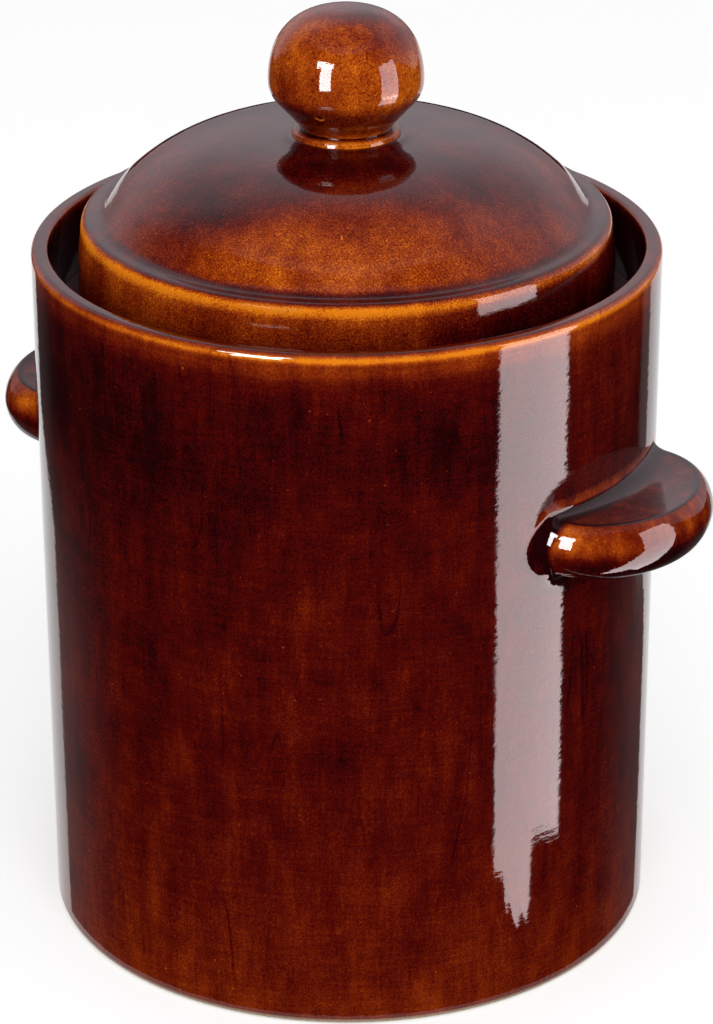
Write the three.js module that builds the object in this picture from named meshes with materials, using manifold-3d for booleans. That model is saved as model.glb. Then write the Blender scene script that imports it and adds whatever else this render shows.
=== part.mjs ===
// Barrel fermentation crock: a straight stoneware barrel with two lug handles, a water channel
// round its mouth, a domed lid whose skirt stands in that channel, and two half-moon weights inside.
// Millimetres, +Z up. The origin is the centre of the base, on the surface the crock stands on.
// The handles lie along X.

import * as THREE from 'three';
import { ParametricGeometry } from 'three/addons/geometries/ParametricGeometry.js';
import { mergeVertices } from 'three/addons/utils/BufferGeometryUtils.js';
import Module from 'manifold-3d';

const wasm = await Module();
wasm.setup();

// Fits that several pieces share
const LUTE_GAP = 0.3; // joint line between pieces that are stuck together with slip
const REST_GAP = 0.3; // under a loose piece that rests on another

// Crock body
const BODY_RADIUS = 100; // outside of the wall at the rim
const BASE_TAPER = 0.8; // the wall is this much narrower at the base
const RIM_HEIGHT = 230;
const RIM_WALL = 5.5; // wall beside the water channel
const RIM_ROUND_OUTSIDE = 2.2;
const RIM_ROUND_INSIDE = 1.2;
const SEAT_LEDGE = 2.5; // the wall below the channel is this much thicker and carries the collar
const FLOOR_THICKNESS = 10;
const FLOOR_COVE = 6;
const BASE_ROUND = 3;
const FOOT_WIDTH = 14; // flat ring that the crock stands on
const FOOT_RECESS = 2; // hollow of the underside inside that ring

// Water channel and the neck of the mouth
const CHANNEL_DEPTH = 24; // from the rim down to the channel floor
const CHANNEL_FLOOR = 8;
const CHANNEL_COVE = 3;
const NECK_WALL = 7;
const NECK_CLEARANCE = 3; // between the neck and the inside of the lid's skirt
const NECK_HEADROOM = 4; // between the neck's lip and the top of the skirt's inside
const NECK_ROUND = 2.5;
const COLLAR_CHAMFER = 3;

// Lid
const WATER_GAP = 9.4; // between the lid's skirt and the rim
const SKIRT_LENGTH = 30.2; // from the foot of the skirt to the start of the rolled lip
const SKIRT_WALL = 6;
const SKIRT_FLARE = 1.8; // the skirt is this much narrower at the lip
const SKIRT_FLARE_HEIGHT = 13;
const SKIRT_ROUND = 1.5;
const LIP_ROUND = 2.2;
const LIP_WIDTH = 4.4; // from the skirt's top edge in to the foot of the dome
const LIP_COVE = 2.5;
const DOME_RISE = 25.6;
const DOME_FULLNESS = 0.953; // share of the fourth power in the dome's curve, the rest is the square
const DOME_WALL = 7.5;

// Knob
const KNOB_RADIUS = 24.5;
const KNOB_CROWN = 25; // from the widest ring up to the top
const KNOB_CROWN_POWER = 2.5; // power of the rounded crown's curve, 2 would be an ellipse
const KNOB_TAPER = 13; // from the waist up to the widest ring
const KNOB_RING_ROUND = 5; // rounding below the widest ring
const KNOB_WAIST_RADIUS = 14.8;
const KNOB_FOOT_RADIUS = 17;
const KNOB_FOOT_HEIGHT = 2.2;
const KNOB_WALL = 7;
const VENT_RADIUS = 0.9;
const VENT_HEIGHT = 10.5; // of the vent's centre above the knob's foot
const VENT_TURN = 10; // degrees from -Y towards +X

// Handles
const HANDLE_HEIGHT = 158; // of the lug's middle plane above the base
const HANDLE_REACH = 27.4; // from the wall out to the lug's edge
const HANDLE_ROOT = 4; // the lug's outline is centred this far inside the wall
const HANDLE_LENGTH = 76;
const HANDLE_THICKNESS = 18; // before the top and the underside are dished
const HANDLE_EDGE_POWER = 9; // how sharply the flat top turns down into the rounded edge
const HANDLE_DISH = 2.5; // hollow of the top and the underside towards the wall
const HANDLE_RIDGE = 0.85; // share of the outline inside which the dish begins

// Weights
const WEIGHT_CLEARANCE = 6; // between a weight and the inside of the wall
const WEIGHT_THICKNESS = 18;
const WEIGHT_SPLIT = 2; // between the two halves
const WEIGHT_ROUND = 2;
const FINGER_HOLE_RADIUS = 12;

// Fineness of the facets
const TURN_STEPS = 60;
const KNOB_STEPS = 36;
const DOME_STEPS = 9;
const CROWN_STEPS = 7;
const FILLET_STEPS = 3;
const LUG_TURN_STEPS = 28;
const LUG_EDGE_STEPS = 12;
const WEIGHT_CURVE_STEPS = 20;
const WEIGHT_ROUND_STEPS = 2;
const VENT_STEPS = 10;
const SAME_POINT = 1e-4; // points nearer than this are one

// Radii and heights that follow from those sizes
const channelRadius = BODY_RADIUS - RIM_WALL;
const insideRadius = channelRadius - SEAT_LEDGE;
const channelFloorZ = RIM_HEIGHT - CHANNEL_DEPTH;
const collarSeatZ = channelFloorZ - CHANNEL_FLOOR;
const skirtRadius = channelRadius - WATER_GAP;
const skirtInsideRadius = skirtRadius - SKIRT_WALL;
const neckRadius = skirtInsideRadius - NECK_CLEARANCE;
const mouthRadius = neckRadius - NECK_WALL;
const lidFootZ = channelFloorZ + REST_GAP;
const lipEdgeZ = lidFootZ + SKIRT_LENGTH;
const lipEdgeRadius = skirtRadius - SKIRT_FLARE;
const lipTopZ = lipEdgeZ + LIP_ROUND;
const domeFootRadius = lipEdgeRadius - LIP_WIDTH;
const domeFootSlope = (DOME_RISE / domeFootRadius) * (2 * (1 - DOME_FULLNESS) + 4 * DOME_FULLNESS);
const domeFootAngle = Math.atan(domeFootSlope);
const domeFootZ = lipTopZ + LIP_COVE * (1 - Math.cos(domeFootAngle));
const domeTopZ = domeFootZ + DOME_RISE;
const domeInsideTopZ = domeTopZ - DOME_WALL;
const skirtInsideTopZ = domeInsideTopZ - DOME_RISE;
const neckTopZ = skirtInsideTopZ - NECK_HEADROOM;
const knobFootZ = domeTopZ + LUTE_GAP;

// A point of a turned profile: distance from the axis and height
function at(radius, height) {
  return new THREE.Vector2(radius, height);
}

// Points along an arc of a turned profile, with its first and last point, angles in degrees
function arc(centreRadius, centreHeight, radius, fromDegrees, toDegrees) {
  const points = [];
  for (let step = 0; step <= FILLET_STEPS; step += 1) {
    const degrees = fromDegrees + ((toDegrees - fromDegrees) * step) / FILLET_STEPS;
    const angle = THREE.MathUtils.degToRad(degrees);
    points.push(at(centreRadius + radius * Math.cos(angle), centreHeight + radius * Math.sin(angle)));
  }
  return points;
}

// A profile turned about the Z axis. It runs up the outside and down the inside.
function turned(profile, steps) {
  const geometry = new THREE.LatheGeometry(profile, steps);
  geometry.rotateX(Math.PI / 2);
  return geometry;
}

function solidFrom(geometry) {
  const bare = geometry.clone();
  bare.deleteAttribute('normal');
  bare.deleteAttribute('uv');
  const merged = mergeVertices(bare, SAME_POINT);
  const mesh = new wasm.Mesh({
    numProp: 3,
    vertProperties: new Float32Array(merged.attributes.position.array),
    triVerts: new Uint32Array(merged.index.array),
  });
  mesh.merge();
  return new wasm.Manifold(mesh);
}

function geometryFrom(solid) {
  const mesh = solid.getMesh();
  const geometry = new THREE.BufferGeometry();
  geometry.setAttribute('position', new THREE.BufferAttribute(mesh.vertProperties, mesh.numProp));
  geometry.setIndex(new THREE.BufferAttribute(mesh.triVerts, 1));
  geometry.computeVertexNormals();
  return geometry;
}

function cut(geometry, tool) {
  return geometryFrom(solidFrom(geometry).subtract(solidFrom(tool)));
}

// Depth of the dome's curve below its top, as a share of its rise, at a share of its foot radius
function domeDrop(share) {
  return (1 - DOME_FULLNESS) * share ** 2 + DOME_FULLNESS * share ** 4;
}

// Points of the dome's curve from its top out to its foot
function domeCurve(topZ, footRadius) {
  const points = [];
  for (let step = 0; step <= DOME_STEPS; step += 1) {
    const share = Math.sin((Math.PI / 2) * (step / DOME_STEPS));
    points.push(at(footRadius * share, topZ - DOME_RISE * domeDrop(share)));
  }
  return points;
}

function crockBody() {
  const baseRadius = BODY_RADIUS - BASE_TAPER;
  const footInsideRadius = baseRadius - BASE_ROUND - FOOT_WIDTH;
  const profile = [
    at(0, FOOT_RECESS),
    at(footInsideRadius - FOOT_RECESS, FOOT_RECESS),
    at(footInsideRadius, 0),
    ...arc(baseRadius - BASE_ROUND, BASE_ROUND, BASE_ROUND, -90, 0),
    ...arc(BODY_RADIUS - RIM_ROUND_OUTSIDE, RIM_HEIGHT - RIM_ROUND_OUTSIDE, RIM_ROUND_OUTSIDE, 0, 90),
    ...arc(channelRadius + RIM_ROUND_INSIDE, RIM_HEIGHT - RIM_ROUND_INSIDE, RIM_ROUND_INSIDE, 90, 180),
    at(channelRadius, collarSeatZ),
    at(insideRadius, collarSeatZ),
    ...arc(insideRadius - FLOOR_COVE, FLOOR_THICKNESS + FLOOR_COVE, FLOOR_COVE, 0, -90),
    at(0, FLOOR_THICKNESS),
  ];
  return turned(profile, TURN_STEPS);
}

function waterSealCollar() {
  const collarRadius = channelRadius - LUTE_GAP;
  const seatZ = collarSeatZ + LUTE_GAP;
  const start = at(collarRadius, seatZ);
  const profile = [
    start,
    at(collarRadius, channelFloorZ),
    ...arc(neckRadius + CHANNEL_COVE, channelFloorZ + CHANNEL_COVE, CHANNEL_COVE, -90, -180),
    ...arc(neckRadius - NECK_ROUND, neckTopZ - NECK_ROUND, NECK_ROUND, 0, 90),
    ...arc(mouthRadius + NECK_ROUND, neckTopZ - NECK_ROUND, NECK_ROUND, 90, 180),
    at(mouthRadius, seatZ + COLLAR_CHAMFER),
    at(mouthRadius + COLLAR_CHAMFER, seatZ),
    start,
  ];
  return turned(profile, TURN_STEPS);
}

function lid() {
  const coveAngle = 270 - THREE.MathUtils.radToDeg(domeFootAngle);
  const coveCentreRadius = domeFootRadius + LIP_COVE * Math.sin(domeFootAngle);
  const profile = [
    ...domeCurve(domeInsideTopZ, skirtInsideRadius),
    at(skirtInsideRadius, lidFootZ + SKIRT_ROUND),
    at(skirtInsideRadius + SKIRT_ROUND, lidFootZ),
    at(skirtRadius - SKIRT_ROUND, lidFootZ),
    at(skirtRadius, lidFootZ + SKIRT_ROUND),
    at(skirtRadius, lipEdgeZ - SKIRT_FLARE_HEIGHT),
    ...arc(lipEdgeRadius - LIP_ROUND, lipEdgeZ, LIP_ROUND, 0, 90),
    ...arc(coveCentreRadius, lipTopZ + LIP_COVE, LIP_COVE, 270, coveAngle),
    ...domeCurve(domeTopZ, domeFootRadius).reverse().slice(1),
  ];
  return turned(profile, TURN_STEPS);
}

// Points of the knob's rounded crown from its widest ring up to the axis
function crownCurve(radius, ringZ, height) {
  const points = [];
  for (let step = 0; step <= CROWN_STEPS; step += 1) {
    const angle = (Math.PI / 2) * (step / CROWN_STEPS);
    const across = Math.cos(angle) ** (2 / KNOB_CROWN_POWER);
    const up = Math.sin(angle) ** (2 / KNOB_CROWN_POWER);
    points.push(at(step === CROWN_STEPS ? 0 : radius * across, ringZ + height * up));
  }
  return points;
}

function lidKnob() {
  const waistZ = knobFootZ + KNOB_FOOT_HEIGHT;
  const ringZ = waistZ + KNOB_TAPER;
  const hollowNeckRadius = KNOB_WAIST_RADIUS - KNOB_WALL;
  const roundCentre = at(KNOB_RADIUS - KNOB_RING_ROUND, ringZ);
  const outward = roundCentre.x - KNOB_WAIST_RADIUS;
  const tangentAngle = Math.asin(KNOB_RING_ROUND / Math.hypot(outward, KNOB_TAPER));
  const taperDegrees = THREE.MathUtils.radToDeg(Math.atan2(outward, KNOB_TAPER) + tangentAngle);
  const profile = [
    ...crownCurve(KNOB_RADIUS - KNOB_WALL, ringZ, KNOB_CROWN - KNOB_WALL).reverse(),
    at(hollowNeckRadius, waistZ),
    at(hollowNeckRadius, knobFootZ),
    at(KNOB_FOOT_RADIUS, knobFootZ),
    at(KNOB_WAIST_RADIUS, waistZ),
    ...arc(roundCentre.x, roundCentre.y, KNOB_RING_ROUND, -taperDegrees, 0).slice(0, -1),
    ...crownCurve(KNOB_RADIUS, ringZ, KNOB_CROWN),
  ];
  const vent = new THREE.CylinderGeometry(VENT_RADIUS, VENT_RADIUS, KNOB_RADIUS, VENT_STEPS);
  vent.translate(0, -KNOB_RADIUS / 2, knobFootZ + VENT_HEIGHT);
  vent.rotateZ(THREE.MathUtils.degToRad(VENT_TURN));
  return cut(turned(profile, KNOB_STEPS), vent);
}

// A lug on the +X side: an elliptic pillow with a flat, slightly dished top and a rounded edge,
// cut to the curve of the wall. The square root crowds its rows towards the edge.
function handleLug() {
  const centreX = BODY_RADIUS - HANDLE_ROOT;
  const reach = HANDLE_ROOT + HANDLE_REACH;
  const surface = (turn, rise, target) => {
    const angle = 2 * Math.PI * turn;
    const share = Math.min(1, Math.sqrt(Math.sin(Math.PI * rise)));
    const fullHeight = 0.5 * HANDLE_THICKNESS * Math.sqrt(1 - share ** HANDLE_EDGE_POWER);
    const dishShare = Math.max(0, 1 - (share / HANDLE_RIDGE) ** 2);
    const height = fullHeight - HANDLE_DISH * dishShare ** 2;
    target.set(
      centreX + reach * share * Math.cos(angle),
      0.5 * HANDLE_LENGTH * share * Math.sin(angle),
      HANDLE_HEIGHT + (rise < 0.5 ? -height : height),
    );
  };
  const lug = new ParametricGeometry(surface, LUG_TURN_STEPS, LUG_EDGE_STEPS);
  const wall = turned(
    [
      at(0, 0),
      at(BODY_RADIUS - BASE_TAPER + LUTE_GAP, 0),
      at(BODY_RADIUS + LUTE_GAP, RIM_HEIGHT),
      at(0, RIM_HEIGHT),
    ],
    TURN_STEPS,
  );
  return cut(lug, wall);
}

// A half-moon weight on the +Y side, with half of the finger hole in its straight edge
function weightHalf() {
  const radius = insideRadius - WEIGHT_CLEARANCE;
  const straightEdge = 0.5 * WEIGHT_SPLIT;
  const edgeAngle = Math.asin(straightEdge / radius);
  const holeAngle = Math.asin(straightEdge / FINGER_HOLE_RADIUS);
  const outline = new THREE.Shape();
  outline.absarc(0, 0, radius, edgeAngle, Math.PI - edgeAngle, false);
  outline.absarc(0, 0, FINGER_HOLE_RADIUS, Math.PI - holeAngle, holeAngle, true);
  outline.closePath();
  const geometry = new THREE.ExtrudeGeometry(outline, {
    depth: WEIGHT_THICKNESS - 2 * WEIGHT_ROUND,
    curveSegments: WEIGHT_CURVE_STEPS,
    bevelThickness: WEIGHT_ROUND,
    bevelSize: WEIGHT_ROUND,
    bevelOffset: -WEIGHT_ROUND,
    bevelSegments: WEIGHT_ROUND_STEPS,
  });
  geometry.translate(0, 0, FLOOR_THICKNESS + REST_GAP + WEIGHT_ROUND);
  return geometry;
}

const DARK_GLAZE = { color: 0x4d140c, roughness: 0.15, metalness: 0 };
const WARM_GLAZE = { color: 0x9a4418, roughness: 0.15, metalness: 0 };
const BARE_CLAY = { color: 0xb9a48a, roughness: 0.85, metalness: 0 };

function piece(name, geometry, finish, turn = 0) {
  const mesh = new THREE.Mesh(geometry, new THREE.MeshStandardMaterial(finish));
  mesh.name = name;
  mesh.rotation.z = turn;
  return mesh;
}

const crock = new THREE.Group();
crock.add(piece('crock_body', crockBody(), DARK_GLAZE));
crock.add(piece('water_seal_collar', waterSealCollar(), DARK_GLAZE));
crock.add(piece('right_handle', handleLug(), WARM_GLAZE));
crock.add(piece('left_handle', handleLug(), WARM_GLAZE, Math.PI));
crock.add(piece('lid', lid(), WARM_GLAZE));
crock.add(piece('lid_knob', lidKnob(), WARM_GLAZE));
crock.add(piece('weight_right', weightHalf(), BARE_CLAY, -Math.PI / 2));
crock.add(piece('weight_left', weightHalf(), BARE_CLAY, Math.PI / 2));

export default crock;
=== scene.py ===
# %% [markdown]
# # A barrel fermentation crock in brown glaze
# The crock is thrown stoneware: a straight barrel with two lug handles, a channel round its mouth
# that is filled with water, a domed lid whose skirt stands in that water, and two half-moon weights
# inside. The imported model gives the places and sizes. This script gives it smooth turned surfaces
# and a glaze that is honey coloured where it is thin and almost black where it has run together.

import math

import bpy
import numpy as np
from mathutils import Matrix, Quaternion, Vector


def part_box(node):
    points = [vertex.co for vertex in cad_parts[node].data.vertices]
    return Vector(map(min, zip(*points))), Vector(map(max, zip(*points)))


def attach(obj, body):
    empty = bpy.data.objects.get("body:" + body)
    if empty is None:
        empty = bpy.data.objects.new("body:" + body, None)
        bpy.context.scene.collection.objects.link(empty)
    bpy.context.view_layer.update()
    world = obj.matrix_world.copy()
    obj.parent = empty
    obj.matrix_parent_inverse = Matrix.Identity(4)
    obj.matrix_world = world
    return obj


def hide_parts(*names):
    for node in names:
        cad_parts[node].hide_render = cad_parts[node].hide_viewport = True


MM = 0.001
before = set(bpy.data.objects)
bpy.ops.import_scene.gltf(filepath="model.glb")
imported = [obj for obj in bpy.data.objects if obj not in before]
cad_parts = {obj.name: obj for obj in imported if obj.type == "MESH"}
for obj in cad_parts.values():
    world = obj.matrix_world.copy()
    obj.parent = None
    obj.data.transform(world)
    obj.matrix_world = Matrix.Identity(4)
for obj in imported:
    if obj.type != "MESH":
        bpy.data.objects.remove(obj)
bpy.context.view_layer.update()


def short(point):
    """A point's numbers, rounded for printing."""
    return [round(number, 4) for number in point]


# %% [markdown]
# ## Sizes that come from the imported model
# A potter measures the jar before making a lid for it. Here the main radii and heights are read
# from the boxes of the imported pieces, in millimetres, so every surface below meets the next one.

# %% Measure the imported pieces
def reach(node):
    """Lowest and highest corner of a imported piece, in millimetres."""
    low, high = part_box(node)
    return np.array(low) / MM, np.array(high) / MM


BARREL_RADIUS, _, RIM_Z = reach("crock_body")[1]
RING_BASE_Z, NECK_TOP_Z = [corner[2] for corner in reach("water_seal_collar")]
SKIRT_FOOT_Z, DOME_TOP_Z = [corner[2] for corner in reach("lid")]
SKIRT_RADIUS = reach("lid")[1][0]
KNOB_FOOT_Z, KNOB_TOP_Z = [corner[2] for corner in reach("lid_knob")]
KNOB_RADIUS = reach("lid_knob")[1][1]
LUG_TIP = reach("right_handle")[1][0]
LUG_Z = np.mean(reach("right_handle"), axis=0)[2]
print("barrel radius", BARREL_RADIUS, "rim", RIM_Z, "lid top", DOME_TOP_Z, "knob top", KNOB_TOP_Z)

# %% [markdown]
# ## The camera
# The photograph looks down on the crock from a little to the right of its front. The camera stands
# at that angle, far enough away that the barrel's sides stay almost straight. A constraint could aim
# it at a target, but a turn that is worked out once needs no extra object.

# %% Set up the camera
AZIMUTH = math.radians(32)
ELEVATION = math.radians(24.41)
ROLL = math.radians(-0.2)
CAMERA_DISTANCE = 1.25614
CAMERA_TARGET = Vector((0.00237, 0.00148, 0.13457))
LENS = 134.93

to_camera = Vector((math.sin(AZIMUTH), -math.cos(AZIMUTH), 0))
to_right = Vector((math.cos(AZIMUTH), math.sin(AZIMUTH), 0))
back = to_camera * math.cos(ELEVATION) + Vector((0, 0, math.sin(ELEVATION)))

camera = bpy.data.objects.new("camera", bpy.data.cameras.new("camera"))
camera.data.lens = LENS
camera.data.sensor_width = 36
camera.location = CAMERA_TARGET + back * CAMERA_DISTANCE
camera.rotation_mode = "QUATERNION"
camera.rotation_quaternion = (-back).to_track_quat("-Z", "Y") @ Quaternion((0, 0, 1), ROLL)
bpy.context.scene.collection.objects.link(camera)
bpy.context.scene.camera = camera
bpy.context.scene.view_settings.view_transform = "Standard"
print("camera at", short(camera.location))

# %% [markdown]
# ## Node maths as Python sums
# A glaze is a sum of many small patterns, which makes a large web of nodes. A small class wraps an
# output socket, so that `0.8 + 0.2 * streaks` adds the Math nodes by itself. Everything that isn't
# a sum of values goes through one method that adds any node.

# %% A socket that can be used in sums
class Wire:
    """An output socket of a node tree that can be used in sums of values."""

    def __init__(self, tree, socket=None):
        self.tree = tree
        self.socket = socket

    def add(self, kind, settings=None, inputs=None, output=0):
        """Adds a node of a type, makes its settings, then fills or links its inputs."""
        node = self.tree.nodes.new(kind)
        for key, value in (settings or {}).items():
            if key == "stops":
                self.fill_ramp(node.color_ramp, value)
            else:
                setattr(node, key, value)
        for key, value in (inputs or {}).items():
            if isinstance(value, Wire):
                self.tree.links.new(value.socket, node.inputs[key])
            else:
                node.inputs[key].default_value = value
        return Wire(self.tree, node.outputs[output] if node.outputs else None)

    def fill_ramp(self, ramp, stops):
        """Gives a colour ramp its stops, each a position and a colour."""
        while len(ramp.elements) < len(stops):
            ramp.elements.new(0.5)
        for element, (position, colour) in zip(ramp.elements, stops):
            element.position = position
            element.color = colour

    def maths(self, operation, first, second=0.0):
        """A Math node on two values or sockets."""
        return self.add("ShaderNodeMath", {"operation": operation}, {0: first, 1: second})

    def __add__(self, other):
        return self.maths("ADD", self, other)

    def __radd__(self, other):
        return self.maths("ADD", other, self)

    def __sub__(self, other):
        return self.maths("SUBTRACT", self, other)

    def __rsub__(self, other):
        return self.maths("SUBTRACT", other, self)

    def __mul__(self, other):
        return self.maths("MULTIPLY", self, other)

    def __rmul__(self, other):
        return self.maths("MULTIPLY", other, self)

    def own(self, name):
        """A value that each point of the mesh carries."""
        return self.add("ShaderNodeAttribute", {"attribute_name": name}, output="Fac")

    def feed(self, shader, name):
        """Links this value to an input of a shader."""
        self.tree.links.new(self.socket, shader.inputs[name])

    def at_least(self, other):
        """The larger of this and another value."""
        return self.maths("MAXIMUM", self, other)

    def between(self, low, high):
        """0 at or below the low value, 1 at or above the high one, smooth in between."""
        settings = {"interpolation_type": "SMOOTHSTEP", "clamp": True}
        ends = {"Value": self, "From Min": low, "From Max": high}
        return self.add("ShaderNodeMapRange", settings, ends)

    def blend(self, first, second):
        """Mixes two colours, this value being the share of the second one."""
        return self.add("ShaderNodeMix", {"data_type": "RGBA"}, {0: self, 6: first, 7: second}, 2)


# %% Colours and empty materials
def srgb(red, green, blue):
    """A screen colour from 0 to 255 as the linear colour that nodes take."""
    share = np.array([red, green, blue]) / 255
    linear = np.where(share > 0.04045, ((share + 0.055) / 1.055) ** 2.4, share / 12.92)
    return (*linear.tolist(), 1.0)


def new_material(name):
    """An empty node material, its shader, and a wire to start sums from."""
    material = bpy.data.materials.new(name)
    material.use_nodes = True
    shader = material.node_tree.nodes["Principled BSDF"]
    return material, shader, Wire(material.node_tree)


BLACK = srgb(0, 0, 0)
WHITE = srgb(255, 255, 255)
print("white is", short(WHITE))

# %% [markdown]
# ## Grids that become meshes
# Every piece here is a grid of points that closes round one way, as a pot does on the wheel. Blender's
# Screw modifier could turn an outline too, but a grid can also carry numbers at its points, such as
# the depth of the glaze together with painted shade. Where a row shrinks to a single point, its quads
# become triangles.

# %% Turn a grid of points into a mesh piece
def mesh_piece(name, grid, values=None, sheet=False, ring=False, first_pole=False, last_pole=False):
    """A mesh from rows of points in millimetres. Each row closes on itself, unless it is a sheet.
    With ring, the last row joins the first. A pole row is one point. Values are numbers for each
    point of the grid, kept as attributes of the mesh."""
    rows, columns = grid.shape[:2]
    index = np.arange(rows * columns).reshape(rows, columns)
    if first_pole:
        index[0] = index[0, 0]
    if last_pole:
        index[-1] = index[-1, 0]
    lower = index if ring else index[:-1]
    upper = np.roll(index, -1, axis=0) if ring else index[1:]
    corners = [lower, np.roll(lower, -1, axis=1), np.roll(upper, -1, axis=1), upper]
    quads = np.stack(corners, axis=-1)[:, : columns - 1 if sheet else columns].reshape(-1, 4)
    used, quads = np.unique(quads, return_inverse=True)
    quads = quads.reshape(-1, 4)
    starts_flat = quads[:, 0] == quads[:, 1]
    ends_flat = quads[:, 2] == quads[:, 3]
    faces = quads[~starts_flat & ~ends_flat].tolist()
    faces += quads[starts_flat][:, [0, 2, 3]].tolist()
    faces += quads[ends_flat][:, [0, 1, 2]].tolist()
    mesh = bpy.data.meshes.new(name)
    mesh.from_pydata((grid.reshape(-1, 3)[used] * MM).tolist(), [], faces)
    for key, numbers in (values or {}).items():
        spread = np.broadcast_to(numbers, (rows, columns)).reshape(-1)[used]
        mesh.attributes.new(key, "FLOAT", "POINT").data.foreach_set("value", spread.astype(np.float32))
    mesh.shade_smooth()
    piece = bpy.data.objects.new(name, mesh)
    bpy.context.scene.collection.objects.link(piece)
    print(name, "has", len(mesh.vertices), "points and", len(mesh.polygons), "faces")
    return piece


BOTH_POLES = {"first_pole": True, "last_pole": True}


def ease(value, low, high):
    """0 below the low value, 1 above the high one, and in between a smooth rise: three times the
    squared share of the way, less twice its cube."""
    share = np.clip((value - low) / (high - low), 0, 1)
    return share * share * (3 - 2 * share)


def bell(value, middle, width):
    """1 at the middle, falling off on both sides: e to the power of minus the square of the distance
    over the width."""
    return np.exp(-(((value - middle) / width) ** 2))


# %% [markdown]
# ## The floor
# A dark glossy pot shows whatever stands round it, so the light is set up as for glassware. The
# white floor glows a little, but only where it is seen, so it throws no extra light on the pot.

# %% Floor
def stage_sheet(name, grid, paint, values=None):
    """A sheet that stands or lies round the object and isn't part of it."""
    sheet = mesh_piece(name, grid, values, sheet=True)
    sheet.data.materials.append(paint)
    return sheet


def shown_rays(wire):
    """1 for rays from the camera and for mirrored and see-through ones, 0 for rays that light."""
    kinds = ("Is Camera Ray", "Is Glossy Ray", "Is Transmission Ray")
    seen, mirrored, through = [wire.add("ShaderNodeLightPath", output=kind) for kind in kinds]
    return seen.at_least(mirrored).at_least(through)


def matt_paint(name, colour):
    """A paint with no gloss at all, its shader, and a wire."""
    paint, shader, wire = new_material(name)
    shader.inputs["Base Color"].default_value = colour
    shader.inputs["Roughness"].default_value = 0.9
    shader.inputs["Specular IOR Level"].default_value = 0.0
    return paint, shader, wire


FLOOR_REACH = 6000.0
FLOOR_GLOW = 0.42
floor_paint, floor_shader, wire = matt_paint("floor_paint", (0.86, 0.86, 0.86, 1))
floor_shader.inputs["Emission Strength"].default_value = FLOOR_GLOW
shown_rays(wire).blend(BLACK, WHITE).feed(floor_shader, "Emission Color")
across, along = np.meshgrid([-FLOOR_REACH, FLOOR_REACH], [-FLOOR_REACH, FLOOR_REACH])
stage_sheet("floor", np.stack([across, along, 0 * across], axis=-1), floor_paint)

# %% [markdown]
# ## Dark cloths
# Dark cloth on the table, out of the camera's sight, keeps a glossy pot deep in colour. A square cloth
# would show slanting edges on a round wall. So the near cloth's edges follow the lines of sight that
# the wall mirrors, and its image ends along upright lines. The far cloth lies behind the crock and is
# mirrored where the glaze leans away from the camera.

# %% Sheets that only the glaze sees
def only_in_glaze(thing):
    """Hides a lamp or sheet from everything except mirror images in the glaze."""
    for ray in ("camera", "diffuse", "transmission", "volume_scatter", "shadow"):
        setattr(thing, "visible_" + ray, False)


UP = np.array([0, 0, 1.0])


def heading(turn):
    """Level directions at turns to the right of the camera, in radians: the cosine of the turn towards
    the camera plus the sine to its right."""
    turn = np.asarray(turn)[..., None]
    return np.cos(turn) * np.array(to_camera) + np.sin(turn) * np.array(to_right)


def mirrored_table(wall_turns, distances, height):
    """Points on the table that the barrel's wall mirrors towards the camera: a line of sight leaves
    the wall at a turn from the camera and runs on at twice that turn for a distance."""
    leave = (BARREL_RADIUS + 1) * heading(wall_turns)
    return leave + distances[..., None] * heading(2 * wall_turns) + height * UP


print("the camera stands towards", heading(0).round(3).tolist())

# %% Near cloth and far cloth
CLOTH_REACH = 4000.0
CLOTH_ROWS = 60
CLOTH_COLUMNS = 120
NEAR_CLOTH_Z = 0.6
FAR_CLOTH_Z = 0.9
FAR_CLOTH_PALE = 0.02

cloth_run = CLOTH_REACH * np.linspace(0, 1, CLOTH_ROWS)[:, None] ** 3 + 3
cloth_left = -71.7 - 7.0 * ease(cloth_run, 300, 440)
cloth_right = 73.0 + 3.5 * (1 - ease(cloth_run, 220, 280))
across_cloth = np.linspace(0, 1, CLOTH_COLUMNS)
cloth_turns = np.radians(cloth_left + (cloth_right - cloth_left) * across_cloth)
cloth_grid = mirrored_table(cloth_turns, cloth_run * np.ones(CLOTH_COLUMNS), NEAR_CLOTH_Z)
left_fade = np.radians(-62)
cloth_pale = 0.22 * (1 - ease(cloth_turns, left_fade - 0.12, left_fade + 0.3))
cloth_pale = cloth_pale + 0.12 * ease(cloth_turns, 0.9, 1.2)
cloth_pale = 0.012 + cloth_pale * (1 - ease(cloth_run, 180, 440))
cloth_pale = cloth_pale + 0.2 * ease(cloth_turns, 1.19, 1.21) * ease(cloth_run, 220, 280)
cloth_pale = cloth_pale + 0.06 * (1 - ease(cloth_turns, -1.32, -1.15))
cloth_paint, cloth_shader, wire = matt_paint("dark_cloth_paint", BLACK)
wire.own("pale").blend(BLACK, WHITE).feed(cloth_shader, "Base Color")
cloth = stage_sheet("dark_cloth", cloth_grid, cloth_paint, {"pale": cloth_pale})
only_in_glaze(cloth)
far_turns = np.radians(np.linspace(95, 265, CLOTH_COLUMNS))
far_near = 1150 + 2400 * ease(np.abs(far_turns - np.pi), 0.2, 0.42)
far_run = np.stack([far_near, np.full(CLOTH_COLUMNS, FLOOR_REACH)])
far_grid = far_run[..., None] * heading(far_turns) + FAR_CLOTH_Z * UP
far_cloth = stage_sheet("far_cloth", far_grid, cloth_paint, {"pale": FAR_CLOTH_PALE})
only_in_glaze(far_cloth)

# %% [markdown]
# ## The light tent
# A tent of white cloth stands round the stage, only to be mirrored. Lamps would have hard edges in the
# glaze, but a tent's brightness can change softly from point to point. It is bright at the sides and
# behind, dark in front where the camera stands, and has a soft box overhead. The sloping lower edge
# of its side panels bounds the pale sheen on dome and rim.

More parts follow.
